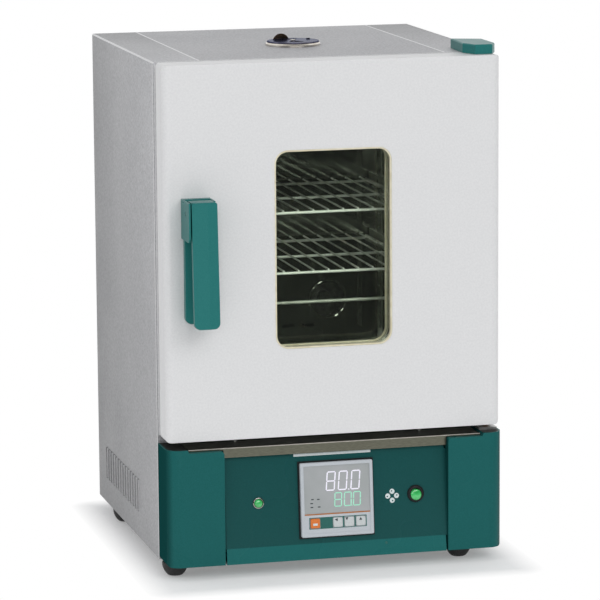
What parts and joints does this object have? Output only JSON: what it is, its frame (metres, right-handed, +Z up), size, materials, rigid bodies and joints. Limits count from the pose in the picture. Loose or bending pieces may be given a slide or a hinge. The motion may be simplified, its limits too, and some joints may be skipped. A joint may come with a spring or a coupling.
{
  "type": "forced-air drying oven",
  "caption": "Bench forced-air drying oven: insulated cabinet, hinged door with a window, wire shelves, rear fan, top vent and a tilted control panel.",
  "frame": {"origin": "bottom centre of the oven's box, on the surface it stands on", "axes": "+Z up, -Y out of the door's front, +X to the right seen from the front"},
  "size_m": [0.4152, 0.4622, 0.622],
  "materials": {
    "shell_grey": "fine speckled powder coat",
    "door_white": "smooth white powder coat",
    "stainless": "satin",
    "polished_steel": "mirror polished stainless",
    "chrome_wire": "bright plated wire",
    "zinc_steel": "zinc plated",
    "bronze": "sintered bronze",
    "element_sheath": "oxidised sheath",
    "motor_grey": "painted",
    "mineral_wool": "loose fibre",
    "teal_plastic": "satin moulded plastic",
    "rubber_black": "matt",
    "silicone_cream": "soft silicone",
    "clear_glass": "clear toughened glass",
    "bezel_grey": "satin",
    "display_window": "clear window over a grey dial",
    "key_grey": "soft key",
    "key_orange": "soft key",
    "lamp_green": "lit lens",
    "lamp_ring": "bright ring",
    "black_plastic": "moulded black plastic"
  },
  "bodies": {
    "cabinet": {"side_shell_left": "shell_grey", "side_shell_right": "shell_grey", "top_panel": "shell_grey", "back_panel": "shell_grey", "base_plate": "shell_grey", "deck_plate": "shell_grey", "front_frame": "door_white", "sill_strip": "stainless", "strike_plate": "stainless", "chamber_liner": "polished_steel", "duct_cover": "polished_steel", "inlet_ring": "polished_steel", "rack_uprights": "polished_steel", "shelf_runners": "polished_steel", "vent_flange": "polished_steel", "vent_tube": "polished_steel", "temperature_probe": "polished_steel", "hinge_lower": "zinc_steel", "hinge_upper": "zinc_steel", "cabinet_screws": "zinc_steel", "heater_ring": "element_sheath", "fan_motor": "motor_grey", "cabinet_insulation": "mineral_wool", "base_pillar_left": "teal_plastic", "base_pillar_right": "teal_plastic", "control_panel": "teal_plastic", "hinge_cover": "teal_plastic", "feet": "rubber_black", "controller_bezel": "bezel_grey", "controller_display": "display_window", "run_lamp_lens": "lamp_green", "run_lamp_bezel": "lamp_ring", "fan_switch_bezel": "black_plastic", "controller_case": "black_plastic", "power_inlet": "black_plastic", "power_relay": "black_plastic", "terminal_block": "black_plastic"},
    "door": {"door_shell": "door_white", "door_liner": "stainless", "door_insulation": "mineral_wool", "door_catch": "black_plastic", "window_seals": "silicone_cream", "outer_glass": "clear_glass", "inner_glass": "clear_glass", "window_tunnel": "polished_steel", "glass_retainer": "polished_steel", "door_gasket": "silicone_cream", "hinge_bushes": "bronze", "handle_base": "teal_plastic", "handle_pin": "zinc_steel"},
    "handle_lever": {"handle_lever": "teal_plastic"},
    "fan_rotor": {"fan_rotor": "zinc_steel"},
    "vent_damper": {"vent_damper": "polished_steel"},
    "fan_button": {"fan_button": "lamp_green"},
    "key_set": {"key_set": "key_orange"},
    "key_shift": {"key_shift": "key_grey"},
    "key_down": {"key_down": "key_grey"},
    "key_up": {"key_up": "key_grey"},
    "shelf_lower": {"shelf_lower": "chrome_wire"},
    "shelf_upper": {"shelf_upper": "chrome_wire"}
  },
  "joints": [
    {"name": "door_hinge", "type": "hinge", "parent": "cabinet", "child": "door", "pos_m": [0.192, -0.1581, 0.387], "axis": [0, 0, 1], "range_deg": [0, 115]},
    {"name": "handle_pull", "type": "hinge", "parent": "door", "child": "handle_lever", "pos_m": [-0.16625, -0.2031, 0.44], "axis": [-1, 0, 0], "range_deg": [0, 15], "stiffness_Nm_per_rad": 1.5, "springref_deg": -3.44},
    {"name": "fan_spin", "type": "hinge", "parent": "cabinet", "child": "fan_rotor", "pos_m": [0.078, 0.1629, 0.269], "axis": [0, -1, 0], "continuous": true},
    {"name": "vent_turn", "type": "hinge", "parent": "cabinet", "child": "vent_damper", "pos_m": [0, 0.0104, 0.613], "axis": [0, 0, 1], "range_deg": [0, 90]},
    {"name": "fan_button_press", "type": "slide", "parent": "cabinet", "child": "fan_button", "axis": [0, 0.9959, -0.091], "range_m": [0, 0.002], "stiffness_N_per_m": 400, "springref_m": -0.002},
    {"name": "shelf_lower_slide", "type": "slide", "parent": "cabinet", "child": "shelf_lower", "axis": [0, -1, 0], "range_m": [0, 0.018]},
    {"name": "shelf_upper_slide", "type": "slide", "parent": "cabinet", "child": "shelf_upper", "axis": [0, -1, 0], "range_m": [0, 0.018]},
    {"name": "key_set_press", "type": "slide", "parent": "cabinet", "child": "key_set", "axis": [0, 0.9959, -0.091], "range_m": [0, 0.0008], "stiffness_N_per_m": 600, "springref_m": -0.0005},
    {"name": "key_shift_press", "type": "slide", "parent": "cabinet", "child": "key_shift", "axis": [0, 0.9959, -0.091], "range_m": [0, 0.0008], "stiffness_N_per_m": 600, "springref_m": -0.0005},
    {"name": "key_down_press", "type": "slide", "parent": "cabinet", "child": "key_down", "axis": [0, 0.9959, -0.091], "range_m": [0, 0.0008], "stiffness_N_per_m": 600, "springref_m": -0.0005},
    {"name": "key_up_press", "type": "slide", "parent": "cabinet", "child": "key_up", "axis": [0, 0.9959, -0.091], "range_m": [0, 0.0008], "stiffness_N_per_m": 600, "springref_m": -0.0005}
  ]
}
